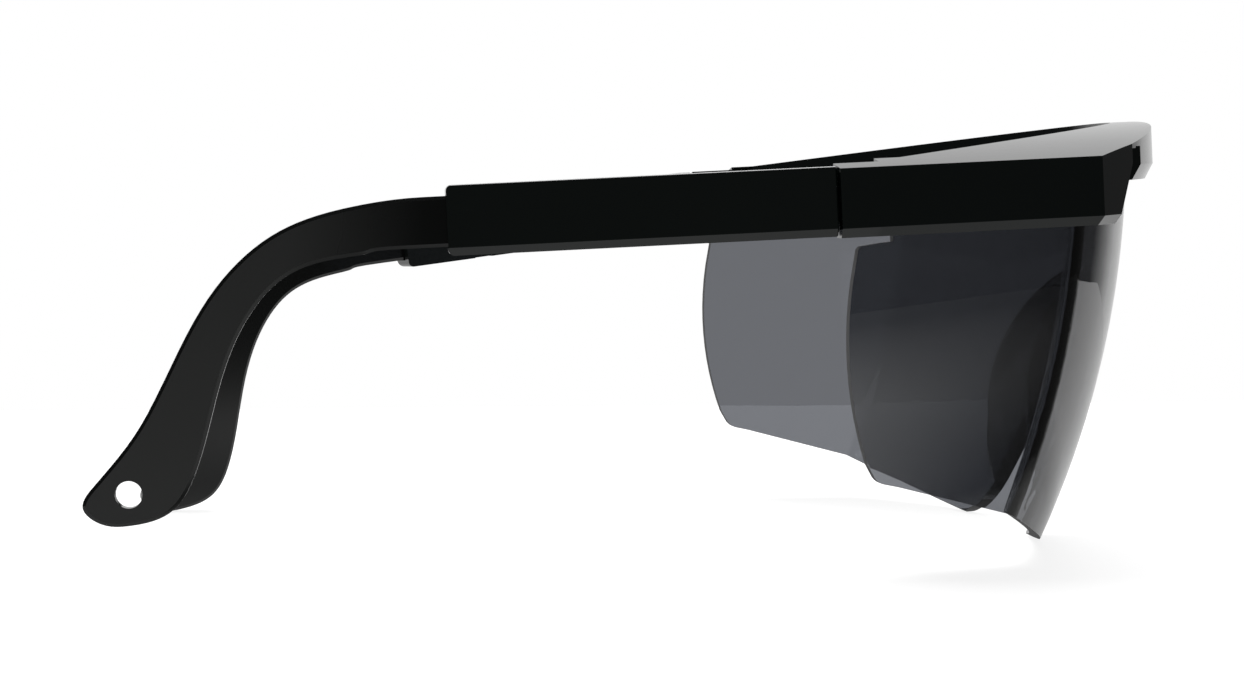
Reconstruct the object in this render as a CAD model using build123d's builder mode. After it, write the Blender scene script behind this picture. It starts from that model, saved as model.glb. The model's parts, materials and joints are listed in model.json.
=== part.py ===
"""Safety glasses: one-piece shield, brow frame and folding, tilting, sliding temples.

Millimetres. +Z is up and Z = 0 is the surface that the glasses rest on. -Y is the front,
-X is the wearer's right, and X = 0 is the symmetry plane of the front.
"""
from build123d import *
import os
from math import cos, radians, sin, sqrt

os.makedirs("parts", exist_ok=True)

# ---- the glasses' own frame, pitched as they rest on the lens lobes and one temple tip ----
SEAM_Y = -23.19  # where the side arms end and the temples start
SEAM_Z = 52.97  # mid-height of the side arms at the seam
REST_PITCH = 2.8  # degrees that the side arms fall towards the rear

# ---- brow frame ----
HALF_WIDTH = 72.0
ARM_TOP = 5.0
ARM_BOTTOM = -5.0
CROWN = 10.4  # height of the domed top at the symmetry plane
PLATE = 2.0  # thickness of the domed top
LIP_FRONT = -61.5
LIP_RADIUS = 128.0
LIP_BOTTOM = 1.2
CORNER_X = 60.8  # where the lip meets the flat corner facet
CREASE_Y = -38.5  # where the corner facet meets the side arm
LEDGE_CENTRE = -58.2  # rear edge of the ledge at the symmetry plane
LEDGE_END_X = 63.5
LEDGE_END_Y = -10.5
ARM_BEVEL = 1.35
TOP_ROUND = 1.0
LIP_BEVEL_HIGH = 2.3
LIP_BEVEL_DEEP = 1.3
RAKE_TOP = (-47.3, 6.2)  # front of the corner blocks in side view
RAKE_BOTTOM = (-42.1, ARM_BOTTOM)
SLOT_X = 55.5  # dark slot between the lip and the corner facet
SLOT_FLOOR = -44.4
SLOT_TOP = 5.9  # roof of that slot
ARM_INNER_X = 66.9
RIB_INSET = 3.7  # inner face of the rib behind the shield, inside its outer surface
RIB_BOTTOM = -2.0
RIB_TOP = 5.2  # inside the thickness of the domed top

# ---- lens ----
LENS_THICKNESS = 2.2
LENS_RADIUS = 107.5  # across the face
LENS_PROFILE_RADIUS = 140.0  # from top to bottom
LENS_VERTEX_Y = -58.25
LENS_VERTEX_Z = 11.6
LENS_BEND_X = 62.0  # where the face turns into the side shield
LENS_BEND_RADIUS = 4.0
SHIELD_REAR_X = 69.0  # shield's outer half width at the seam
SHIELD_TUCK = 1.3  # how much narrower the shield is at its lowest level
LENS_BOTTOM = -54.9
LENS_TO_FRAME = 0.15
SECTION_LEVELS = (-60.0, -48.0, -36.0, -24.0, -12.0, 0.0, 12.0)

# ---- nose bridge ----
NOSE_APEX = -14.0
NOSE_SLOPE_BOTTOM = 16.0
NOSE_HALF_TOP = 4.2
NOSE_FLARE = 4.5
LOBE_NOSE_X = 17.5  # where the nose cut-out would meet the lens lower edge, unrounded
LOBE_RADIUS = 9.0
FLANGE = 1.7
FLANGE_BOTTOM = -49.4

# ---- hinge ----
PIN_X = 66.5
PIN_Y = -3.6
PIN_RADIUS = 0.8
KNUCKLE_RADIUS = 2.5
KNUCKLE_HALF = 2.4
NECK_INNER = -0.3  # neck between knuckle and tongue
NECK_REAR = 3.6
TONGUE_FRONT = 3.9
LUG_RADIUS = 2.7
LUG_GAP_HALF = 2.6
HINGE_WALL_FRONT = -7.9
HINGE_WALL_REAR = -6.7
LUG_REAR = -0.15
HINGE_POCKET_X = 69.5
RUNNING_FIT = 0.05

# ---- temple, measured from the tilt axis ----
TILT_Y = 8.8  # behind the fold pin
TILT_Z = 0.3
SLEEVE_OUTER = 5.5  # outer face, outboard of the fold pin
SLEEVE_INNER = -0.9
SLEEVE_FRONT = -4.74
SLEEVE_REAR = 50.8
SLEEVE_HALF = 5.05
SLEEVE_EASE = 0.2
SLEEVE_BEVEL = 1.15
TONGUE_OUTER = 3.6
TONGUE_INNER = 1.0
CAVITY_CLEAR = 0.1
DISC_RADIUS = 3.8
TOOTH_RADIUS = 0.12
TOOTH_STEP = 4.4  # degrees
SCREW_RADIUS = 1.0
SCREW_END = 4.7
SCREW_HEAD = 0.8
SCREW_HEAD_RADIUS = 1.9
BLADE_TOP = 3.55
BLADE_BOTTOM = -3.75
BLADE_FRONT = 11.0
NOTCH_PITCH = 7.4
NOTCH_DEPTH = 0.5
NOTCH_LENGTH = 3.2
NOTCH_FIRST = 12.4  # first length notch, ahead of the sleeve's rear end
HOOK_BEVEL = 0.5
CORD_HOLE_RADIUS = 1.95
CORD_HOLE_AT = (97.8, -36.6)
HOOK_UPPER = ((54.0, 3.5), (64.0, 2.65), (74.7, -0.4), (84.3, -8.3), (90.7, -18.4), (96.3, -27.9))
HOOK_TOE = ((102.5, -35.0), (104.4, -38.2), (102.0, -40.6), (98.0, -41.1), (92.1, -39.5))
HOOK_LOWER = ((88.2, -34.0), (85.3, -25.4), (81.2, -14.9), (75.0, -7.5), (67.6, -4.8), (62.4, -4.2))
BLADE_REAR = 57.0  # where the blade's lower edge starts to bend

# ---- how the temples stand at rest: side, name, degrees folded inward, degrees tilted down,
# ---- and how far the tip stands out of its sleeve
OPEN_STOP = 3.4  # inward fold with the temple fully open
TEMPLES = ((-1, "right", OPEN_STOP, 0.0, 0.0), (1, "left", 14.1, 4.4, -1.5))

frame_plane = Plane(
    origin=(0, SEAM_Y, SEAM_Z),
    x_dir=(1, 0, 0),
    z_dir=(0, sin(radians(REST_PITCH)), cos(radians(REST_PITCH))),
)
frame_at = frame_plane.location


def level(height):
    """Horizontal plane of the glasses' frame at one height."""
    return frame_plane.offset(height)


def facing(depth):
    """Front-view plane of the glasses' frame: X across, height up, at one depth."""
    return Plane(frame_at * Plane.XZ.offset(-depth).location)


def beside(across):
    """Side-view plane of the glasses' frame: rearward across, height up."""
    return Plane(frame_at * Plane.YZ.offset(across).location)


def block(x_range, y_range, z_range, at=frame_at):
    """A box between three pairs of limits in the frame `at`, outside any builder."""
    size = [high - low for low, high in (x_range, y_range, z_range)]
    middle = [(high + low) / 2 for low, high in (x_range, y_range, z_range)]
    return at * Pos(*middle) * Box(*size, mode=Mode.PRIVATE)


def sided(side, near, far):
    """Limits across the glasses, mirrored to one side, in rising order."""
    return tuple(sorted((side * near, side * far)))


# ---------------------------------------------------------------- shield surface
def face_depth(height):
    """Depth of the lens' outer surface on the symmetry plane."""
    fall = height - LENS_VERTEX_Z
    return LENS_VERTEX_Y + LENS_PROFILE_RADIUS - sqrt(LENS_PROFILE_RADIUS**2 - fall**2)


def shield_section(height, inset, rear):
    """Plan of the region inside the shield's outer surface, moved inward by inset."""
    centre_y = face_depth(height) + LENS_RADIUS
    radius = LENS_RADIUS - inset
    bend = Vector(LENS_BEND_X, centre_y - sqrt(LENS_RADIUS**2 - LENS_BEND_X**2))
    tuck = SHIELD_TUCK * (min(height, 0.0) / SECTION_LEVELS[0] * 1.5) ** 2
    along = (Vector(SHIELD_REAR_X - tuck, 0) - bend).normalized()
    start = bend + Vector(-along.Y, along.X) * inset
    spoke = start - Vector(0, centre_y)
    reach = spoke.dot(along)
    corner = start + along * (-reach - sqrt(reach**2 - spoke.dot(spoke) + radius**2))
    end = corner + along * ((rear - corner.Y) / along.Y)
    with BuildSketch(level(height)) as section:
        with BuildLine():
            ThreePointArc((-corner.X, corner.Y), (0, centre_y - radius), (corner.X, corner.Y))
            Polyline((corner.X, corner.Y), (end.X, rear), (-end.X, rear), (-corner.X, corner.Y))
        make_face()
        fillet(section.vertices().sort_by(Axis.Y)[:2], radius=LENS_BEND_RADIUS - inset)
    return section.sketch


def shield_core(inset, rear=6.0):
    """Solid region inside the shield's outer surface, moved inward by inset."""
    with BuildPart() as core:
        loft(sections=[shield_section(height, inset, rear) for height in SECTION_LEVELS])
    return core.part


def nose_wedge(grow):
    """Tapered inverted-U space over the nose, widening towards the face."""
    outlines = []
    for depth, flare in ((-64.0, 0.0), (-28.0, NOSE_FLARE)):
        with BuildSketch(facing(depth)) as outline:
            with BuildLine():
                Polyline(
                    (-NOSE_SLOPE_BOTTOM - flare - grow, LENS_BOTTOM - 7),
                    (-NOSE_HALF_TOP - flare / 2 - grow, NOSE_APEX + grow + flare / 3),
                    (NOSE_HALF_TOP + flare / 2 + grow, NOSE_APEX + grow + flare / 3),
                    (NOSE_SLOPE_BOTTOM + flare + grow, LENS_BOTTOM - 7),
                    close=True,
                )
            make_face()
            fillet(outline.vertices().sort_by(Axis.Y)[-2:], radius=3.4 + grow)
        outlines.append(outline.sketch)
    with BuildPart() as wedge:
        loft(sections=outlines)
    return wedge.part


def dome_profile(drop):
    """Front-view arc of the domed top, lowered by drop."""
    return ThreePointArc(
        (-HALF_WIDTH, ARM_TOP - drop), (0, CROWN - drop), (HALF_WIDTH, ARM_TOP - drop)
    )


# ---------------------------------------------------------------- lens
outer_core = shield_core(0.0)
inner_core = shield_core(LENS_THICKNESS, rear=9.0)

with BuildPart() as below_plate:
    with BuildSketch(facing(10.0)):
        with BuildLine():
            dome_profile(PLATE + RUNNING_FIT)
            Polyline(
                (HALF_WIDTH, ARM_TOP - PLATE - RUNNING_FIT),
                (HALF_WIDTH, LENS_BOTTOM),
                (-HALF_WIDTH, LENS_BOTTOM),
                (-HALF_WIDTH, ARM_TOP - PLATE - RUNNING_FIT),
            )
        make_face()
    extrude(amount=80.0)

with BuildPart() as side_outline:
    with BuildSketch(beside(-80.0)) as side_face:
        with BuildLine():
            Polyline((-2.4, -8.7), (-2.9, -6.4), (-8.2, -5.9), (-8.2, 12), (-70, 12))
            Polyline((-70, 12), (-70, LENS_BOTTOM), (-38.2, LENS_BOTTOM), (-25.0, -47.0))
            Polyline((-25.0, -47.0), (-7.5, -41.6), (-4.4, -40.8), (-3.0, -38.0))
            ThreePointArc((-3.0, -38.0), (-0.8, -23.5), (-2.4, -8.7))
        make_face()
        fillet(side_face.vertices().sort_by_distance((-2.9, -6.4))[0], radius=0.9)
        fillet(side_face.vertices().sort_by_distance((-4.4, -40.8))[0], radius=2.4)
        fillet(side_face.vertices().sort_by_distance((-7.5, -41.6))[0], radius=8.0)
        fillet(side_face.vertices().sort_by_distance((-25.0, -47.0))[0], radius=6.0)
    extrude(amount=160.0)

with BuildPart() as lobe_cut:
    with BuildSketch(facing(-30.0)) as lobe_face:
        with BuildLine():
            Polyline(
                (-40, LENS_BOTTOM - 8),
                (-40, LENS_BOTTOM),
                (-LOBE_NOSE_X, LENS_BOTTOM),
                (-NOSE_HALF_TOP, NOSE_APEX - 1.0),
                (NOSE_HALF_TOP, NOSE_APEX - 1.0),
                (LOBE_NOSE_X, LENS_BOTTOM),
                (40, LENS_BOTTOM),
                (40, LENS_BOTTOM - 8),
                close=True,
            )
        make_face()
        fillet(lobe_face.vertices().filter_by(lambda v: 10 < abs(v.X) < 20), radius=LOBE_RADIUS)
        fillet(lobe_face.vertices().sort_by(Axis.Y)[-2:], radius=3.0)
    extrude(amount=45.0)

with BuildPart() as flange_reach:
    with BuildSketch(beside(-30.0)):
        with BuildLine():
            Polyline((-41.3, FLANGE_BOTTOM), (-70, FLANGE_BOTTOM), (-70, -13), (-53.5, -13))
            ThreePointArc((-53.5, -13.0), (-43.9, -22.0), (-40.1, -38.0))
            ThreePointArc((-40.1, -38.0), (-40.3, -45.0), (-41.3, FLANGE_BOTTOM))
        make_face()
    extrude(amount=60.0)

with BuildPart() as lens:
    add(nose_wedge(FLANGE))
    add(flange_reach.part, mode=Mode.INTERSECT)
    add(outer_core, mode=Mode.INTERSECT)
    add(outer_core - inner_core)
    add(nose_wedge(0.0), mode=Mode.SUBTRACT)
    add(lobe_cut.part, mode=Mode.SUBTRACT)
    add(side_outline.part, mode=Mode.INTERSECT)
    add(below_plate.part, mode=Mode.INTERSECT)
lens.part.label = "lens"
export_step(lens.part, "parts/lens.step")

# ---------------------------------------------------------------- brow frame
def lip_depth(across):
    """Depth of the lip's front face at one distance from the symmetry plane."""
    return LIP_FRONT + LIP_RADIUS - sqrt(LIP_RADIUS**2 - across**2)


def frame_prism():
    """Plan shape of the brow frame, pulled up through its whole height."""
    ledge_control = 2 * LEDGE_CENTRE - LEDGE_END_Y
    corner_y = lip_depth(CORNER_X)
    with BuildPart() as prism:
        with BuildSketch(level(ARM_BOTTOM)):
            with BuildLine():
                ThreePointArc((-CORNER_X, corner_y), (0, LIP_FRONT), (CORNER_X, corner_y))
                Polyline((CORNER_X, corner_y), (HALF_WIDTH, CREASE_Y), (HALF_WIDTH, 0), (ARM_INNER_X, 0))
                Polyline((ARM_INNER_X, 0), (ARM_INNER_X, HINGE_WALL_REAR), (LEDGE_END_X, HINGE_WALL_REAR))
                Line((LEDGE_END_X, HINGE_WALL_REAR), (LEDGE_END_X, LEDGE_END_Y))
                Bezier((LEDGE_END_X, LEDGE_END_Y), (0, ledge_control), (-LEDGE_END_X, LEDGE_END_Y))
                Line((-LEDGE_END_X, LEDGE_END_Y), (-LEDGE_END_X, HINGE_WALL_REAR))
                Polyline((-LEDGE_END_X, HINGE_WALL_REAR), (-ARM_INNER_X, HINGE_WALL_REAR), (-ARM_INNER_X, 0))
                Polyline((-ARM_INNER_X, 0), (-HALF_WIDTH, 0), (-HALF_WIDTH, CREASE_Y), (-CORNER_X, corner_y))
            make_face()
        extrude(amount=CROWN - ARM_BOTTOM + 2)
    return prism.part


def front_silhouette():
    """Everything below the dome and above the lip's and the arms' lower edges."""
    with BuildPart() as silhouette:
        with BuildSketch(facing(2.0)) as outline:
            with BuildLine():
                dome_profile(0)
                Polyline((HALF_WIDTH, ARM_TOP), (HALF_WIDTH, ARM_BOTTOM), (CORNER_X, ARM_BOTTOM))
                Polyline((CORNER_X, ARM_BOTTOM), (CORNER_X, LIP_BOTTOM), (-CORNER_X, LIP_BOTTOM))
                Polyline((-CORNER_X, LIP_BOTTOM), (-CORNER_X, ARM_BOTTOM), (-HALF_WIDTH, ARM_BOTTOM))
                Line((-HALF_WIDTH, ARM_BOTTOM), (-HALF_WIDTH, ARM_TOP))
            make_face()
        extrude(amount=70.0)
    return silhouette.part


def top_slab():
    """The domed top's thickness over the whole plan."""
    with BuildPart() as slab:
        with BuildSketch(facing(2.0)):
            with BuildLine():
                dome_profile(0)
                Line((HALF_WIDTH, ARM_TOP), (HALF_WIDTH, ARM_TOP - PLATE))
                dome_profile(PLATE)
                Line((-HALF_WIDTH, ARM_TOP - PLATE), (-HALF_WIDTH, ARM_TOP))
            make_face()
        extrude(amount=70.0)
    return slab.part


def hinge_lugs(side):
    """Upper and lower lug round the fold pin, with the wall that closes the hinge in front."""
    across = sided(side, PIN_X, HINGE_POCKET_X + 1)
    depths = (HINGE_WALL_FRONT, LUG_REAR)
    lugs = []
    for heights in ((ARM_BOTTOM, -LUG_GAP_HALF), (LUG_GAP_HALF, ARM_TOP - 0.4)):
        height = heights[1] - heights[0]
        lug_middle = Pos(side * PIN_X, PIN_Y, sum(heights) / 2)
        round_end = frame_at * lug_middle * Cylinder(LUG_RADIUS, height, mode=Mode.PRIVATE)
        toe = block(sided(side, PIN_X - LUG_RADIUS, PIN_X), (HINGE_WALL_FRONT, PIN_Y), heights)
        lugs += [block(across, depths, heights), round_end, toe]
    wall_across = sided(side, LEDGE_END_X, HINGE_POCKET_X + 1)
    wall = block(wall_across, (HINGE_WALL_FRONT, HINGE_WALL_REAR), (ARM_BOTTOM, ARM_TOP - 0.4))
    return lugs + [wall]


def core_pocket(side):
    """Moulder's core pocket inside the thick front end of a side arm, open below."""
    with BuildPart() as pocket:
        with BuildSketch(level(ARM_BOTTOM - 1)):
            with BuildLine():
                Polyline(
                    (side * 64.9, -36.2),
                    (side * 69.8, -37.2),
                    (side * 69.8, -15.0),
                    close=True,
                )
            make_face()
        extrude(amount=ARM_TOP - ARM_BOTTOM - PLATE + 0.8)
    return pocket.part


def corner_rake():
    """Wedge in front of the corner blocks, raked back like the lens."""
    with BuildPart() as rake:
        for across in (-HALF_WIDTH - 1, SLOT_X):
            with BuildSketch(beside(across)):
                with BuildLine():
                    Polyline(RAKE_TOP, RAKE_BOTTOM, (-42.1, -8), (-56, -8), (-56, 6.2), close=True)
                make_face()
            extrude(amount=HALF_WIDTH + 1 - SLOT_X)
    return rake.part


def pin_hole(side, radius, low, high):
    """Cylinder on the fold pin's axis between two heights."""
    middle = Pos(side * PIN_X, PIN_Y, (low + high) / 2)
    return frame_at * middle * Cylinder(radius, high - low, mode=Mode.PRIVATE)


def outline_edges(builder, at_bottom, on_lip):
    """Edges round the outside of the frame: top or bottom, of the lip or of arms and facets."""
    chosen = ShapeList()
    for edge in builder.edges():
        middle = frame_plane.to_local_coords(edge.position_at(0.5))
        across = abs(middle.X)
        on_arm = across > HALF_WIDTH - 0.05
        on_facet = CORNER_X + 1 < across < HALF_WIDTH - 1 and middle.Y < CREASE_Y
        lip = across < CORNER_X - 1 and abs(middle.Y - lip_depth(across)) < 0.1
        low = middle.Z < (LIP_BOTTOM if on_lip else ARM_BOTTOM) + 0.1
        flat = abs(edge.tangent_at(0.5).Z) < 0.4
        if low == at_bottom and flat and (lip if on_lip else on_arm or on_facet):
            chosen.append(edge)
    return chosen


PIN_LOW = ARM_BOTTOM + 0.3
PIN_HIGH = ARM_TOP - 0.9

with BuildPart() as brow_frame:
    add(frame_prism())
    add(front_silhouette(), mode=Mode.INTERSECT)
    top_edges = outline_edges(brow_frame, False, True) + outline_edges(brow_frame, False, False)
    fillet(top_edges, radius=TOP_ROUND)
    chamfer(outline_edges(brow_frame, at_bottom=True, on_lip=False), length=ARM_BEVEL)
    lip_face = brow_frame.faces().sort_by(Axis.Y)[0]
    lip_edges = outline_edges(brow_frame, at_bottom=True, on_lip=True)
    chamfer(lip_edges, length=LIP_BEVEL_HIGH, length2=LIP_BEVEL_DEEP, reference=lip_face)
    add(shield_core(-LENS_TO_FRAME, rear=9.0), mode=Mode.SUBTRACT)
    add(frame_prism() & top_slab())
    rib = shield_core(LENS_THICKNESS + LENS_TO_FRAME, rear=9.0) - shield_core(RIB_INSET, rear=10.0)
    for side in (-1, 1):
        add(rib & block(sided(side, 50, 70), (-36.0, -9.0), (RIB_BOTTOM, RIB_TOP)))
        add(hinge_lugs(side))
    for side in (-1, 1):
        pocket = block(sided(side, 60, HINGE_POCKET_X), (HINGE_WALL_REAR, 1), (-LUG_GAP_HALF, LUG_GAP_HALF))
        slot = block(sided(side, SLOT_X, CORNER_X), (-60, SLOT_FLOOR), (ARM_BOTTOM - 1, SLOT_TOP))
        add([pocket, slot, core_pocket(side)], mode=Mode.SUBTRACT)
        add(pin_hole(side, PIN_RADIUS, ARM_BOTTOM - 1, PIN_HIGH), mode=Mode.SUBTRACT)
    add(corner_rake(), mode=Mode.SUBTRACT)
brow_frame.part.label = "brow_frame"
export_step(brow_frame.part, "parts/brow_frame.step")


# ---------------------------------------------------------------- temples
def temple_frames(side, fold, tilt):
    """Frames at the fold pin and at the tilt axis of one temple; x points outboard * side."""
    pin_at = frame_at * Location((side * PIN_X, PIN_Y, 0), (0, 0, side * fold))
    tilt_at = pin_at * Location((0, TILT_Y, TILT_Z), (-tilt, 0, 0))
    return pin_at, tilt_at


def cross_pin(at, side, radius, near, far):
    """Cylinder along the frame's x axis between two distances outboard."""
    low, high = sided(side, near, far)
    turned = Pos((low + high) / 2, 0, 0) * Rot(0, 90, 0)
    return at * turned * Cylinder(radius, high - low, mode=Mode.PRIVATE)


def make_pin(side, name):
    """Steel fold pin, pressed into both lugs."""
    with BuildPart() as pin:
        add(pin_hole(side, PIN_RADIUS, PIN_LOW, PIN_HIGH))
        chamfer(pin.edges().group_by(Axis.Z)[0], length=0.2)
    pin.part.label = f"{name}_fold_pin"
    export_step(pin.part, f"parts/{name}_fold_pin.step")


def make_hinge_block(side, name, pin_at):
    """Knuckle on the fold pin and the notched disc that the sleeve tilts on."""
    disc_at = pin_at * Pos(0, TILT_Y, TILT_Z)
    heights = (-KNUCKLE_HALF, KNUCKLE_HALF)
    with BuildPart() as hinge:
        add(pin_at * Cylinder(KNUCKLE_RADIUS, 2 * KNUCKLE_HALF, mode=Mode.PRIVATE))
        add(block(sided(side, NECK_INNER, KNUCKLE_RADIUS), (0, NECK_REAR), heights, pin_at))
        add(block(sided(side, TONGUE_INNER, KNUCKLE_RADIUS), (0, TILT_Y), heights, pin_at))
        add(block(sided(side, TONGUE_INNER, TONGUE_OUTER), (TONGUE_FRONT, TILT_Y), heights, pin_at))
        add(cross_pin(disc_at, side, DISC_RADIUS, TONGUE_INNER, TONGUE_OUTER))
        add(pin_at * Cylinder(PIN_RADIUS + RUNNING_FIT, 6, mode=Mode.PRIVATE), mode=Mode.SUBTRACT)
        add(cross_pin(disc_at, side, SCREW_RADIUS + RUNNING_FIT, 0, 5), mode=Mode.SUBTRACT)
        for step in range(-3, 4):
            tooth_at = disc_at * Rot(step * TOOTH_STEP, 0, 0) * Pos(0, DISC_RADIUS, 0)
            add(cross_pin(tooth_at, side, TOOTH_RADIUS, 0, 5), mode=Mode.SUBTRACT)
    hinge.part.label = f"{name}_hinge_block"
    export_step(hinge.part, f"parts/{name}_hinge_block.step")


def length_notch(side, tilt_at, rear):
    """Saw-tooth notch across the sleeve's lower inner edge, steep on its rear side."""
    with BuildPart() as notch:
        with BuildSketch(Plane(tilt_at * Plane.YZ.offset(side * (SLEEVE_INNER - 1)).location)):
            with BuildLine():
                Polyline(
                    (rear, -SLEEVE_HALF - NOTCH_DEPTH),
                    (rear, -SLEEVE_HALF + NOTCH_DEPTH),
                    (rear - 2 * NOTCH_LENGTH, -SLEEVE_HALF - NOTCH_DEPTH),
                    close=True,
                )
            make_face()
        extrude(amount=side * (TONGUE_INNER - SLEEVE_INNER + 1))
    return notch.part


def make_sleeve(side, name, tilt_at):
    """Front half of the temple: a tube with the tilt slot in front and the blade slot behind."""
    section_plane = Plane(tilt_at * Plane.XZ.offset(1 - SLEEVE_FRONT).location)
    front_at = tilt_at * Location((0, SLEEVE_FRONT, 0), (0, 0, -side * OPEN_STOP))
    cavity = sided(side, TONGUE_INNER - CAVITY_CLEAR, TONGUE_OUTER + CAVITY_CLEAR)
    with BuildPart() as sleeve:
        with BuildSketch(section_plane) as section:
            with BuildLine():
                Polyline(
                    (side * SLEEVE_INNER, -SLEEVE_HALF),
                    (side * (SLEEVE_OUTER - 1.0), -SLEEVE_HALF),
                    (side * SLEEVE_OUTER, -SLEEVE_HALF + SLEEVE_BEVEL),
                    (side * SLEEVE_OUTER, SLEEVE_HALF),
                    (side * SLEEVE_INNER, SLEEVE_HALF),
                    close=True,
                )
            make_face()
            fillet(section.vertices().group_by(Axis.Y)[-1], radius=0.5)
        extrude(amount=SLEEVE_FRONT - 1 - SLEEVE_REAR)
        with BuildSketch(Plane(tilt_at * Plane.YZ.offset(-10).location)) as side_face:
            with BuildLine():
                Polyline(
                    (SLEEVE_FRONT - 2, -SLEEVE_HALF),
                    (SLEEVE_REAR, -SLEEVE_HALF),
                    (SLEEVE_REAR, SLEEVE_HALF),
                    (SLEEVE_FRONT - 2, SLEEVE_HALF),
                    close=True,
                )
            make_face()
            fillet(side_face.vertices().group_by(Axis.X)[-1], radius=0.9)
        extrude(amount=20, mode=Mode.INTERSECT)
        add(block((-20, 20), (0, 2 * SLEEVE_REAR), (-10, 10), front_at), mode=Mode.INTERSECT)
        chamfer(sleeve.faces().sort_by(Axis.Y)[0].edges(), length=SLEEVE_EASE)
        add(block(cavity, (SLEEVE_FRONT - 1, 4.4), (-4.1, 4.1), tilt_at), mode=Mode.SUBTRACT)
        blade_heights = (BLADE_BOTTOM - CAVITY_CLEAR, BLADE_TOP + CAVITY_CLEAR)
        add(block(cavity, (5.8, SLEEVE_REAR + 1), blade_heights, tilt_at), mode=Mode.SUBTRACT)
        window = block(sided(side, SLEEVE_INNER - 1, TONGUE_INNER), (14, 44), (-1.5, 1.5), tilt_at)
        add(window, mode=Mode.SUBTRACT)
        for step in range(4):
            rear = SLEEVE_REAR - NOTCH_FIRST - step * NOTCH_PITCH
            add(length_notch(side, tilt_at, rear), mode=Mode.SUBTRACT)
        add(cross_pin(tilt_at, side, SCREW_RADIUS + 0.02, SLEEVE_INNER - 1, SCREW_END), mode=Mode.SUBTRACT)
    sleeve.part.label = f"{name}_temple_sleeve"
    export_step(sleeve.part, f"parts/{name}_temple_sleeve.step")


def make_screw(side, name, tilt_at):
    """Tilt screw, put in from the inner side, with a slotted head."""
    with BuildPart() as screw:
        add(cross_pin(tilt_at, side, SCREW_RADIUS, SLEEVE_INNER, SCREW_END - 0.2))
        add(cross_pin(tilt_at, side, SCREW_HEAD_RADIUS, SLEEVE_INNER - SCREW_HEAD, SLEEVE_INNER))
        slot = block(sided(side, SLEEVE_INNER - 2, SLEEVE_INNER - 0.4), (-3, 3), (-0.25, 0.25), tilt_at)
        add(slot, mode=Mode.SUBTRACT)
    screw.part.label = f"{name}_tilt_screw"
    export_step(screw.part, f"parts/{name}_tilt_screw.step")


def make_tip(side, name, tilt_at, reach):
    """Sliding blade and ear hook, cut from one flat strip, with the cord hole."""
    strip_at = tilt_at * Pos(0, reach, 0)
    with BuildPart() as tip:
        with BuildSketch(Plane(strip_at * Plane.YZ.offset(side * TONGUE_INNER).location)) as outline:
            with BuildLine():
                lower_end = (BLADE_REAR, BLADE_BOTTOM)
                Spline(HOOK_UPPER + HOOK_TOE + HOOK_LOWER + (lower_end,), tangents=((1, 0), (-1, 0)))
                Line(lower_end, (BLADE_FRONT, BLADE_BOTTOM))
                Line((BLADE_FRONT, BLADE_BOTTOM), (BLADE_FRONT, BLADE_TOP))
                Line((BLADE_FRONT, BLADE_TOP), HOOK_UPPER[0])
            make_face()
            fillet(outline.vertices().group_by(Axis.X)[0], radius=0.8)
            with Locations(CORD_HOLE_AT):
                Circle(CORD_HOLE_RADIUS, mode=Mode.SUBTRACT)
            with Locations((BLADE_FRONT + 8, BLADE_BOTTOM + 1.4)):
                SlotOverall(12, 0.8, mode=Mode.SUBTRACT)
        extrude(amount=side * (TONGUE_OUTER - TONGUE_INNER))
        hook_edges = tip.edges().filter_by(GeomType.BSPLINE)
        chamfer(hook_edges, length=HOOK_BEVEL)
    tip.part.label = f"{name}_temple_tip"
    export_step(tip.part, f"parts/{name}_temple_tip.step")


for side, name, fold, tilt, reach in TEMPLES:
    pin_at, tilt_at = temple_frames(side, fold, tilt)
    make_pin(side, name)
    make_hinge_block(side, name, pin_at)
    make_sleeve(side, name, tilt_at)
    make_screw(side, name, tilt_at)
    make_tip(side, name, tilt_at, reach)
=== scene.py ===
"""Safety glasses: looks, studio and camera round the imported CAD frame.

Metres, in the part's own frame: +Z is up, and -Y and -X are the wearer's front and right.
A constant called SOMETHING_BY_SOMETHING is a ramp: where it starts and ends, then its value at
either end.
"""
import json
import math

import bpy
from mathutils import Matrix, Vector

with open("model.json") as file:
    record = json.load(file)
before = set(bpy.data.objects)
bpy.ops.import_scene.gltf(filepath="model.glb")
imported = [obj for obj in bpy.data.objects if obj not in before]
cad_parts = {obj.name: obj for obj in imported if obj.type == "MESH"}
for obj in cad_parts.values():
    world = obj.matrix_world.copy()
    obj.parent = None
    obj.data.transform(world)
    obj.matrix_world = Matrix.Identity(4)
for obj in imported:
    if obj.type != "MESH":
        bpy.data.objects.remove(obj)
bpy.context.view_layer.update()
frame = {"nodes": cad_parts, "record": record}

# ---- view ----
VIEW_AZIMUTH = 262.433
VIEW_ELEVATION = 2.402
VIEW_DISTANCE = 0.56905
VIEW_LENS = 101.29
LOOK_AT = Vector((0.0, -0.0011, 0.02915))

# ---- floor ----
FLOOR_RIGHT = -0.56
FLOOR_LEFT = 0.34
FLOOR_FRONT = -0.42
FLOOR_REAR = 0.42
FLOOR_COLOUR = (0.3, 0.3, 0.3)  # seen directly
FLOOR_GLOW = 0.86
PAINTED_REFLECTION_COLOUR = (0.03, 0.03, 0.03)  # in reflections: a painted darker copy of the floor's colour
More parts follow.
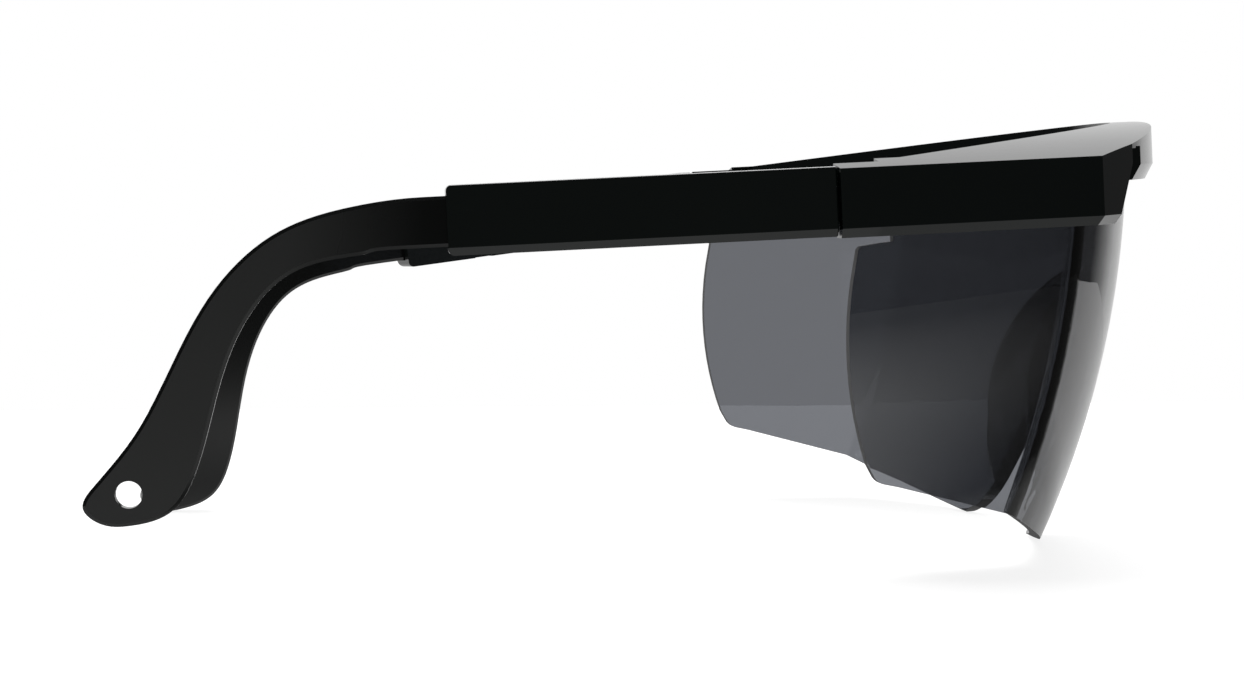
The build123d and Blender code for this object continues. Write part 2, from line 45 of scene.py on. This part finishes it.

# ---- the floor's painted glow in reflections: painted light and shade, laid out by position ----
BEARING_ORIGIN = (-0.064, -0.038)  # on the right side shield
LEAST_AHEAD = 0.001  # keeps the bearing finite beside the origin and behind it
RIGHT_BY_BEARING = (-1.9, -1.05, 1.0, 0.0)
RIGHT_BY_Y = (-0.13, -0.05, 1.4, 0.55)
RIGHT_BY_X = (-0.48, -0.22, 0.2, 1.0)
FRONT_BY_BEARING = (0.22, 0.5, 0.0, 0.60)
FRONT_BY_X = (-0.015, 0.02, 0.7, 1.0)
CORNER_FOOT = (-0.066, -0.062, 0.0)  # on the floor below the brow frame's right front corner
FOOT_BY_DISTANCE = (0.022, 0.045, 0.45, 0.06)

# ---- backdrop and lamp ----
BACKDROP_BY_X = (0.68, 0.84, 0.06, 0.75)  # over the X part of the direction
LAMP_AT = (0.55, 0.0, 0.95)
LAMP_AIM = (0.05, 0, 0)
LAMP_SIZE = 0.9
LAMP_POWER = 16.0

# ---- where the looks of a piece change ----
OUTBOARD_BY_NORMAL = (0.8, 0.9, 0.0, 1.0)  # over the normal's part along one axis
FROM_BEND_BY_Y = (0.036, 0.056, 0.0, 1.0)  # where the temple tip starts to bend down
LEVEL_BY_NORMAL = (0.62, 0.72, 0.0, 1.0)
REARWARD_BY_NORMAL = (0.5, 0.65, 0.0, 1.0)
OFF_NOSE_BY_X = (0.013, 0.015, 0.0, 1.0)
SIDE_SHIELD_BY_X = (0.0635, 0.064, 0.0, 1.0)

# ---- plastics ----
BLACK_IOR = 1.5
POLISHED = 0.12  # roughness of the temple tips' edges and inner faces
LENS_IOR = 1.58
LENS_TINT = (0.502, 0.512, 0.536)
LENS_DENSITY = 1700.0  # per metre
CUT_EDGE_TINT = (0.02, 0.02, 0.022)
CUT_EDGE_ROUGHNESS = 0.6
CUT_EDGE_CLEARNESS = 0.15


# ---------------------------------------------------------------- node helpers
def new_material(name):
    """An empty node material, its tree and its output node."""
    material = bpy.data.materials.new(name)
    material.use_nodes = True
    tree = material.node_tree
    tree.nodes.clear()
    return material, tree, tree.nodes.new("ShaderNodeOutputMaterial")


def node(tree, kind, inputs=None, **settings):
    """Adds a node, sets its properties, and fills its sockets with values or links."""
    made = tree.nodes.new(kind)
    for key, value in settings.items():
        setattr(made, key, value)
    for key, value in (inputs or {}).items():
        if isinstance(value, bpy.types.NodeSocket):
            tree.links.new(value, made.inputs[key])
        else:
            made.inputs[key].default_value = value
    return made


def maths(tree, operation, first, second=0.0):
    """One Math node on one or two values."""
    return node(tree, "ShaderNodeMath", {0: first, 1: second}, operation=operation).outputs[0]


def blend(tree, factor, low, high):
    """Mixes two numbers by a factor."""
    return node(tree, "ShaderNodeMix", {0: factor, 2: low, 3: high}, data_type="FLOAT").outputs[0]


def blend_colours(tree, factor, low, high):
    """Mixes two colours by a factor."""
    made = node(tree, "ShaderNodeMix", {0: factor, 6: (*low, 1), 7: (*high, 1)}, data_type="RGBA")
    return made.outputs[2]


def coordinates(tree, output="Object"):
    """X, Y and Z of the shaded point in the object's space, or of another texture coordinate."""
    place = node(tree, "ShaderNodeTexCoord").outputs[output]
    return node(tree, "ShaderNodeSeparateXYZ", {0: place}).outputs


def ramp(tree, factor, low, high, low_value, high_value):
    """Maps a factor from low..high to low_value..high_value, clamped."""
    made = node(tree, "ShaderNodeMapRange", {"Value": factor, "From Min": low, "From Max": high,
                                             "To Min": low_value, "To Max": high_value})
    return made.outputs["Result"]


def noise(tree, scale, detail=2.0, roughness=0.5, stretch=(1, 1, 1)):
    """Noise of so many cells per metre in the object's own space."""
    place = node(tree, "ShaderNodeTexCoord").outputs["Object"]
    mapped = node(tree, "ShaderNodeMapping", {"Vector": place, "Scale": stretch}).outputs["Vector"]
    made = node(tree, "ShaderNodeTexNoise", {"Vector": mapped, "Scale": scale, "Detail": detail,
                                             "Roughness": roughness})
    return made.outputs["Fac"]


# ---------------------------------------------------------------- materials
def gloss_black(name, colour, roughness, spread):
    """Polished black moulding: slow sheen changes and a few fine rub marks, no grain."""
    material, tree, output = new_material(name)
    slow = noise(tree, scale=45)
    rubs = noise(tree, scale=700, detail=3.0, roughness=0.6, stretch=(1, 0.06, 1))
    rough = ramp(tree, slow, 0.35, 0.65, roughness - spread, roughness + spread)
    marks = ramp(tree, rubs, 0.62, 0.8, 0.0, 0.08)
    total = maths(tree, "ADD", rough, marks)
    bump = node(tree, "ShaderNodeBump", {"Height": slow, "Strength": 0.15, "Distance": 0.00004})
    shader = node(tree, "ShaderNodeBsdfPrincipled", {
        "Base Color": (*colour, 1), "Roughness": total, "Normal": bump.outputs["Normal"], "IOR": BLACK_IOR})
    tree.links.new(shader.outputs[0], output.inputs["Surface"])
    return material


def satin_outside(name, satin, gloss):
    """Black strip with a fine satin grain on its outboard face from the bend on, else polished."""
    material, tree, output = new_material(name)
    at = coordinates(tree)
    facing = coordinates(tree, "Normal")
    outward = maths(tree, "MULTIPLY", maths(tree, "SIGN", at["X"]), facing["X"])
    face = ramp(tree, outward, *OUTBOARD_BY_NORMAL)
    from_bend = ramp(tree, at["Y"], *FROM_BEND_BY_Y)
    outside = maths(tree, "MULTIPLY", face, from_bend)
    slow = noise(tree, scale=40, detail=3.0)
    grain = noise(tree, scale=5200, detail=1.0)
    colour = blend_colours(tree, outside, gloss, satin)
    sheen = ramp(tree, slow, 0.3, 0.7, 0.36, 0.46)
    rough = blend(tree, outside, POLISHED, sheen)
    depth = ramp(tree, outside, 0.0, 1.0, 0.0, 0.3)
    bump = node(tree, "ShaderNodeBump", {"Height": grain, "Strength": depth, "Distance": 0.000008})
    shader = node(tree, "ShaderNodeBsdfPrincipled", {
        "Base Color": colour, "Roughness": rough, "Normal": bump.outputs["Normal"], "IOR": BLACK_IOR})
    tree.links.new(shader.outputs[0], output.inputs["Surface"])
    return material


def tinted_lens(name):
    """Polished grey polycarbonate that darkens with its thickness, with matte dark cut edges."""
    material, tree, output = new_material(name)
    at = coordinates(tree)
    facing = coordinates(tree, "Normal")
    across = maths(tree, "ABSOLUTE", at["X"])
    level = ramp(tree, maths(tree, "ABSOLUTE", facing["Z"]), *LEVEL_BY_NORMAL)
    off_nose = ramp(tree, across, *OFF_NOSE_BY_X)
    rearward = ramp(tree, facing["Y"], *REARWARD_BY_NORMAL)
    on_shield = ramp(tree, across, *SIDE_SHIELD_BY_X)
    lower_edge = maths(tree, "MULTIPLY", level, off_nose)
    rear_edge = maths(tree, "MULTIPLY", rearward, on_shield)
    cut_edge = maths(tree, "MAXIMUM", lower_edge, rear_edge)
    smear = noise(tree, scale=40, detail=4.0, roughness=0.6, stretch=(1, 1, 0.35))
    faces = ramp(tree, smear, 0.45, 0.75, 0.0, 0.03)
    rough = blend(tree, cut_edge, faces, CUT_EDGE_ROUGHNESS)
    clear = blend(tree, cut_edge, 1.0, CUT_EDGE_CLEARNESS)
    tint = blend_colours(tree, cut_edge, (1, 1, 1), CUT_EDGE_TINT)
    shader = node(tree, "ShaderNodeBsdfPrincipled", {
        "Base Color": tint, "Roughness": rough, "Transmission Weight": clear, "IOR": LENS_IOR})
    dark = node(tree, "ShaderNodeVolumeAbsorption", {"Color": (*LENS_TINT, 1), "Density": LENS_DENSITY})
    tree.links.new(shader.outputs[0], output.inputs["Surface"])
    tree.links.new(dark.outputs[0], output.inputs["Volume"])
    return material


def plain_steel(name):
    """Steel with fine level scratches, which run round the pins and along the screws."""
    material, tree, output = new_material(name)
    scratch = noise(tree, scale=900, detail=3.0, roughness=0.6, stretch=(1, 1, 8))
    shader = node(tree, "ShaderNodeBsdfPrincipled", {
        "Base Color": (0.52, 0.52, 0.53, 1), "Metallic": 1.0,
        "Roughness": ramp(tree, scratch, 0.3, 0.7, 0.22, 0.42)})
    tree.links.new(shader.outputs[0], output.inputs["Surface"])
    return material


SLOT_MATERIALS = {
    "lens": tinted_lens("grey_polycarbonate"),
    "frame_plastic": gloss_black(
        "frame_black", colour=(0.0042, 0.0072, 0.0064), roughness=0.07, spread=0.02),
    "sleeve_plastic": gloss_black(
        "sleeve_black", colour=(0.0055, 0.0085, 0.0075), roughness=0.09, spread=0.02),
    "tip_plastic": satin_outside(
        "tip_black", satin=(0.030, 0.0315, 0.0305), gloss=(0.003, 0.004, 0.0035)),
    "hinge_plastic": gloss_black(
        "hinge_black", colour=(0.008, 0.008, 0.008), roughness=0.32, spread=0.05),
    "steel": plain_steel("pin_steel"),
}


def dress_nodes():
    """Gives every CAD node its slot's material."""
    for part in frame["record"]["subparts"]:
        node_object = frame["nodes"][part["node"]]
        node_object.data.materials.clear()
        node_object.data.materials.append(SLOT_MATERIALS[part["material_slot"]])


# ---------------------------------------------------------------- studio
def seen_directly(tree):
    """1 for rays from the camera, also through the lens; 0 for reflections and soft light."""
    rays = node(tree, "ShaderNodeLightPath")
    return maths(tree, "MAXIMUM", rays.outputs["Is Camera Ray"], rays.outputs["Is Transmission Ray"])


def painted_reflection_glow(tree):
    """Painted reflections: the floor's painted glow and shade in reflections, laid out by position round
    the right side shield.

    The bearing is the tangent of the angle from straight ahead of the shield: negative towards
    the wearer's right, positive across the front.
    """
    at = coordinates(tree)
    leftward = maths(tree, "SUBTRACT", at["X"], BEARING_ORIGIN[0])
    ahead = maths(tree, "SUBTRACT", BEARING_ORIGIN[1], at["Y"])
    bearing = maths(tree, "DIVIDE", leftward, maths(tree, "MAXIMUM", ahead, LEAST_AHEAD))
    # painted light and shade in reflections: bright and dim zones set by bearing, Y, X and distance from
    # the corner foot
    right = ramp(tree, bearing, *RIGHT_BY_BEARING)
    right = maths(tree, "MULTIPLY", right, ramp(tree, at["Y"], *RIGHT_BY_Y))
    right = maths(tree, "MULTIPLY", right, ramp(tree, at["X"], *RIGHT_BY_X))
    front = ramp(tree, bearing, *FRONT_BY_BEARING)
    front = maths(tree, "MULTIPLY", front, ramp(tree, at["X"], *FRONT_BY_X))
    place = node(tree, "ShaderNodeTexCoord").outputs["Object"]
    distance = node(tree, "ShaderNodeVectorMath", {0: place, 1: CORNER_FOOT}, operation="DISTANCE")
    foot = ramp(tree, distance.outputs["Value"], *FOOT_BY_DISTANCE)
    return maths(tree, "MAXIMUM", maths(tree, "ADD", right, front), foot)


def make_floor():
    """Plain pale floor under the glasses, with separate painted light and shade in its reflections."""
    mesh = bpy.data.meshes.new("floor")
    corners = [(FLOOR_RIGHT, FLOOR_FRONT, 0), (FLOOR_LEFT, FLOOR_FRONT, 0),
               (FLOOR_LEFT, FLOOR_REAR, 0), (FLOOR_RIGHT, FLOOR_REAR, 0)]
    mesh.from_pydata(corners, [], [(0, 1, 2, 3)])
    floor = bpy.data.objects.new("floor", mesh)
    bpy.context.scene.collection.objects.link(floor)
    material, tree, output = new_material("floor_pale_with_painted_reflections")
    direct = seen_directly(tree)
    # painted reflections: seen directly the floor is plain and pale; in reflections its glow and colour are
    # painted by position
    glow = blend(tree, direct, painted_reflection_glow(tree), FLOOR_GLOW)
    pale = blend_colours(tree, direct, PAINTED_REFLECTION_COLOUR, FLOOR_COLOUR)
    shader = node(tree, "ShaderNodeBsdfPrincipled", {
        "Base Color": pale, "Roughness": 0.6, "Specular IOR Level": 0.1,
        "Emission Color": (1, 1, 1, 1), "Emission Strength": glow})
    tree.links.new(shader.outputs[0], output.inputs["Surface"])
    mesh.materials.append(material)


def make_world():
    """White all round seen directly; in reflections, bright only towards the wearer's left."""
    world = bpy.data.worlds.new("studio")
    bpy.context.scene.world = world
    world.use_nodes = True
    tree = world.node_tree
    tree.nodes.clear()
    output = tree.nodes.new("ShaderNodeOutputWorld")
    direction = coordinates(tree, "Generated")
    backdrop = ramp(tree, direction["X"], *BACKDROP_BY_X)
    strength = maths(tree, "MAXIMUM", backdrop, seen_directly(tree))
    background = node(tree, "ShaderNodeBackground", {"Color": (1, 1, 1, 1), "Strength": strength})
    tree.links.new(background.outputs[0], output.inputs["Surface"])


def make_light(name, location, aim, size, power):
    """A square softbox."""
    lamp = bpy.data.lights.new(name, "AREA")
    lamp.shape = "SQUARE"
    lamp.size = size
    lamp.energy = power
    light = bpy.data.objects.new(name, lamp)
    light.location = location
    light.rotation_euler = (Vector(aim) - Vector(location)).to_track_quat("-Z", "Y").to_euler()
    bpy.context.scene.collection.objects.link(light)


def make_camera():
    """Camera at the wearer's right, level with the side arms."""
    azimuth, elevation = math.radians(VIEW_AZIMUTH), math.radians(VIEW_ELEVATION)
    back = Vector((math.sin(azimuth) * math.cos(elevation), -math.cos(azimuth) * math.cos(elevation),
                   math.sin(elevation)))
    data = bpy.data.cameras.new("camera")
    data.lens = VIEW_LENS
    data.sensor_width = 36.0
    data.clip_start = 0.01
    camera = bpy.data.objects.new("camera", data)
    camera.location = LOOK_AT + back * VIEW_DISTANCE
    camera.rotation_euler = (-back).to_track_quat("-Z", "Y").to_euler()
    bpy.context.scene.collection.objects.link(camera)
    bpy.context.scene.camera = camera


dress_nodes()
make_floor()
make_world()
make_light("overhead", LAMP_AT, LAMP_AIM, LAMP_SIZE, LAMP_POWER)
make_camera()
bpy.context.scene.view_settings.view_transform = "Standard"
bpy.context.scene.cycles.transmission_bounces = 16
bpy.context.scene.cycles.max_bounces = 20
